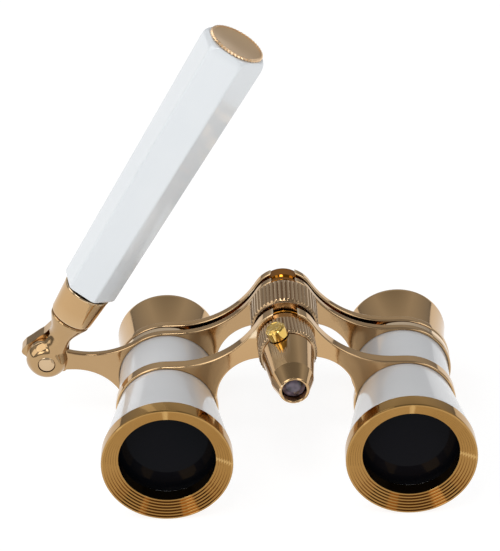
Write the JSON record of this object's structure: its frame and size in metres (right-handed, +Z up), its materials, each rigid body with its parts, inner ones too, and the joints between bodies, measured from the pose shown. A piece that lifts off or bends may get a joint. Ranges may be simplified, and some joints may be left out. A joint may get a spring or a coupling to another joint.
{
  "type": "opera glasses",
  "caption": "Folding-handle opera glasses: white flared barrels in gilt bridges, centre focus wheel, small reading lamp, and a white hexagonal telescopic handle.",
  "frame": {"origin": "centre of the bounding box at its bottom, level with the lowest line of the objective bezels", "axes": "+X to the wearer's left-hand side of the view from the front (right in front view), +Y along the optical axes from the objectives to the eyepieces, +Z up"},
  "size_m": [0.1174, 0.0608, 0.1178],
  "materials": {
    "gold": "polished gold plating",
    "bright_brass": "bright gold plating",
    "white_lacquer": "gloss white lacquer",
    "white_grip": "gloss white",
    "black_anodised": "matt black anodised",
    "objective_glass": "coated glass over a black interior",
    "eye_glass": "coated glass",
    "led_epoxy": "clear epoxy with a violet cast",
    "steel": "satin steel",
    "circuit_board": "solder-masked board",
    "nylon": "moulded nylon"
  },
  "bodies": {
    "frame": {"front_bridge": "gold", "rear_bridge": "gold", "left_barrel": "white_lacquer", "right_barrel": "white_lacquer", "left_objective_bezel": "gold", "right_objective_bezel": "gold", "left_objective_lens": "objective_glass", "right_objective_lens": "objective_glass", "lamp_nose": "gold", "lamp_battery_ring": "gold", "lamp_base": "gold", "lamp_lens": "led_epoxy", "lamp_led": "led_epoxy", "lamp_contact_plate": "circuit_board", "lamp_cell_1": "steel", "lamp_cell_2": "steel", "lamp_cell_3": "steel", "lamp_battery_spring": "steel"},
    "focus_wheel": {"focus_wheel": "gold", "focus_nut": "bright_brass"},
    "eyepieces": {"eyepiece_bridge": "gold", "focus_hub": "bright_brass", "focus_screw": "steel", "left_eyepiece_tube": "black_anodised", "left_eyecup": "gold", "left_eye_lens": "eye_glass", "left_eye_lens_ring": "black_anodised", "right_eyepiece_tube": "black_anodised", "right_eyecup": "gold", "right_eye_lens": "eye_glass", "right_eye_lens_ring": "black_anodised"},
    "lamp_button": {"lamp_button": "bright_brass"},
    "handle_arm": {"handle_fork": "gold", "hinge_pin": "gold", "handle_stem": "steel", "handle_collar": "gold", "stem_stop": "steel"},
    "grip_slide": {"grip_slide_bush": "nylon"},
    "grip": {"handle_grip": "white_grip", "handle_end_cap": "gold"}
  },
  "joints": [
    {"name": "focus_turn", "type": "hinge", "parent": "frame", "child": "focus_wheel", "pos_m": [0.01088, 0.00455, 0.0379], "axis": [0, 1, 0], "range_deg": [0, 450]},
    {"name": "eyepiece_travel", "type": "slide", "parent": "frame", "child": "eyepieces", "axis": [0, 1, 0], "range_m": [0, 0.007]},
    {"name": "lamp_press", "type": "slide", "parent": "frame", "child": "lamp_button", "axis": [0.3746, 0, -0.9272], "range_m": [0, 0.0007], "stiffness_N_per_m": 300, "springref_m": -0.0005},
    {"name": "handle_fold", "type": "hinge", "parent": "frame", "child": "handle_arm", "pos_m": [-0.05172, 0.01215, 0.0232], "axis": [0, -1, 0], "range_deg": [-25, 238]},
    {"name": "grip_extend", "type": "slide", "parent": "handle_arm", "child": "grip_slide", "axis": [0.4955, 0, 0.8686], "range_m": [0, 0.042]},
    {"name": "grip_twist", "type": "hinge", "parent": "grip_slide", "child": "grip", "pos_m": [-0.02199, 0.01215, 0.07532], "axis": [0.4955, 0, 0.8686], "continuous": true}
  ],
  "couplings": [
    {"joint": "focus_turn", "follows": "eyepiece_travel", "rad_per_m": 1122}
  ]
}
